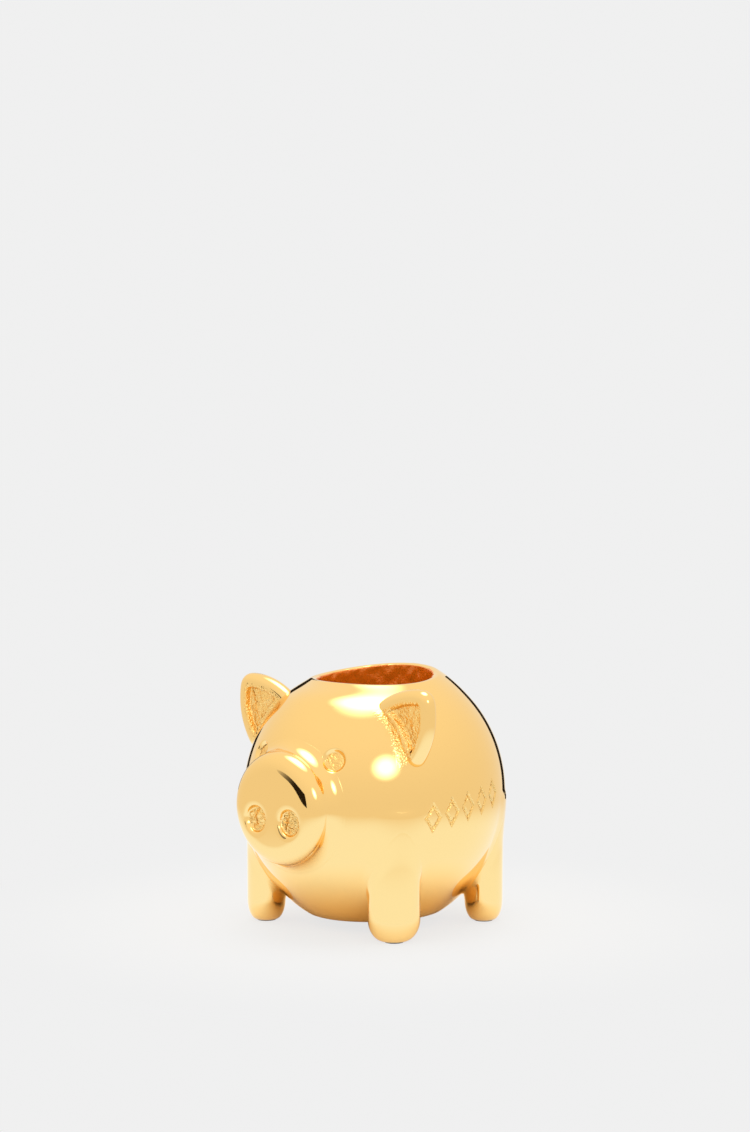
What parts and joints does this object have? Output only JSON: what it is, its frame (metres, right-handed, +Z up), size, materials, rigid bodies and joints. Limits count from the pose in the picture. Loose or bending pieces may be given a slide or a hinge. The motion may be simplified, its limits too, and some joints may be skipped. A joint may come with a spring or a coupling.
{
  "type": "pig-shaped still bank",
  "caption": "Round pig-shaped metal money box: coins drop in through an open round mouth in its crown and come out through a screw plug in its belly.",
  "frame": {"origin": "on the standing surface, under the axis that the round mouth and the belly plug share", "axes": "+Z up, the pig faces -Y, its left side is +X"},
  "size_m": [0.08, 0.0982, 0.0804],
  "materials": {
    "gold_plate": "mirror-polished gold plate, rough as cast inside and in the ears, eyes and nostrils",
    "turned_brass": "turned brass with fine tool rings",
    "zinc_steel": "bright zinc plate",
    "pad_rubber": "matt black rubber",
    "washer_fibre": "matt red-brown vulcanised fibre"
  },
  "bodies": {
    "pig": {"body_shell": "gold_plate", "snout": "gold_plate", "snout_washer": "zinc_steel", "snout_nut": "zinc_steel", "left_ear": "gold_plate", "right_ear": "gold_plate", "front_left_leg": "gold_plate", "front_right_leg": "gold_plate", "rear_left_leg": "gold_plate", "rear_right_leg": "gold_plate", "leg_screws": "zinc_steel", "leg_washers": "zinc_steel", "foot_pads": "pad_rubber", "tail": "gold_plate", "belly_collar": "turned_brass"},
    "plug_travel_body": {"plug_gasket": "washer_fibre"},
    "plug_body": {"belly_plug": "turned_brass"}
  },
  "joints": [
    {"name": "plug_travel", "type": "slide", "parent": "pig", "child": "plug_travel_body", "axis": [0, 0, -1], "range_m": [0, 0.006]},
    {"name": "plug_turn", "type": "hinge", "parent": "plug_travel_body", "child": "plug_body", "pos_m": [0, 0, 0.0035], "axis": [0, 0, -1], "range_deg": [0, 1080]}
  ],
  "couplings": [
    {"joint": "plug_travel", "follows": "plug_turn", "m_per_rad": 0.00031831}
  ]
}
